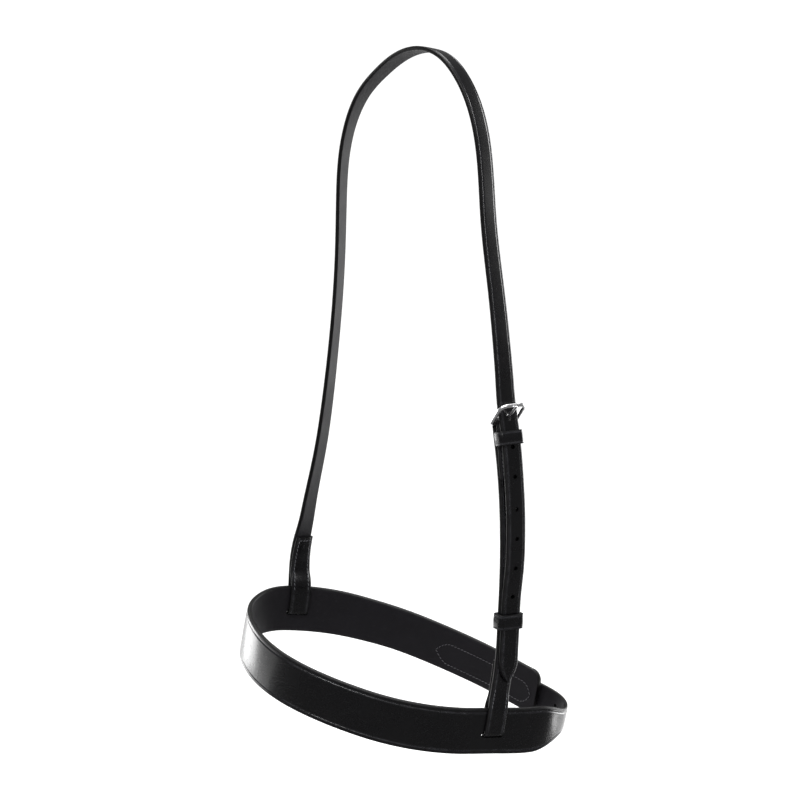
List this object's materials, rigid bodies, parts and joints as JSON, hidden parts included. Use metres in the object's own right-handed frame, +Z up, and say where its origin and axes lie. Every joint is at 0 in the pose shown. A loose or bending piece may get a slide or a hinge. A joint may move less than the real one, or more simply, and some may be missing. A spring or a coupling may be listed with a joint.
{
  "type": "bridle noseband with headpiece",
  "caption": "Leather cavesson noseband, a closed band round the nose, hung from a narrow headpiece strap that loops over the poll and buckles to a cheek strap.",
  "frame": {"origin": "underside of the headpiece strap at its crown, where it lies on the poll", "axes": "+Z up along the hanging length, +X from the plain side to the buckle side, -Y the front of the nose"},
  "size_m": [0.2539, 0.1934, 0.5254],
  "materials": {
    "bridle_leather": "semi-gloss",
    "sewing_thread": "waxed",
    "buckle_metal": "polished"
  },
  "bodies": {
    "sewn_leather": {"headpiece_strap": "bridle_leather", "headpiece_loop_stitching": "sewing_thread", "cheek_strap": "bridle_leather", "cheek_loop_stitching": "sewing_thread", "cheek_chape_stitching": "sewing_thread", "cheek_fixed_keeper": "bridle_leather", "noseband_strap": "bridle_leather", "noseband_safe": "bridle_leather", "noseband_chape": "bridle_leather", "noseband_chape_stitching": "sewing_thread", "noseband_first_keeper": "bridle_leather", "noseband_second_keeper": "bridle_leather"},
    "cheek_buckle": {"cheek_buckle_frame": "buckle_metal"},
    "cheek_tongue": {"cheek_buckle_tongue": "buckle_metal"},
    "cheek_runner_loop": {"cheek_runner": "bridle_leather", "cheek_runner_stitching": "sewing_thread"},
    "noseband_buckle": {"noseband_buckle_frame": "buckle_metal"},
    "noseband_tongue": {"noseband_buckle_tongue": "buckle_metal"}
  },
  "joints": [
    {"name": "cheek_buckle_tilt", "type": "hinge", "parent": "sewn_leather", "child": "cheek_buckle", "pos_m": [0.07846, 0.00645, -0.26687], "axis": [0.1723, 0.985, 0.0055], "range_deg": [-3, 3]},
    {"name": "cheek_tongue_lift", "type": "hinge", "parent": "cheek_buckle", "child": "cheek_tongue", "pos_m": [0.07846, 0.00645, -0.26687], "axis": [0.1723, 0.985, 0.0055], "range_deg": [0, 3]},
    {"name": "cheek_runner_slide", "type": "slide", "parent": "sewn_leather", "child": "cheek_runner_loop", "axis": [0.0654, -0.0005, 0.9979], "range_m": [-0.02, 0.004]},
    {"name": "noseband_buckle_tilt", "type": "hinge", "parent": "sewn_leather", "child": "noseband_buckle", "pos_m": [0.0044, 0.08359, -0.48352], "axis": [0.2588, 0, 0.9659], "range_deg": [-3, 3]},
    {"name": "noseband_tongue_lift", "type": "hinge", "parent": "noseband_buckle", "child": "noseband_tongue", "pos_m": [0.0044, 0.08359, -0.48352], "axis": [0.2588, 0, 0.9659], "range_deg": [0, 3]}
  ]
}
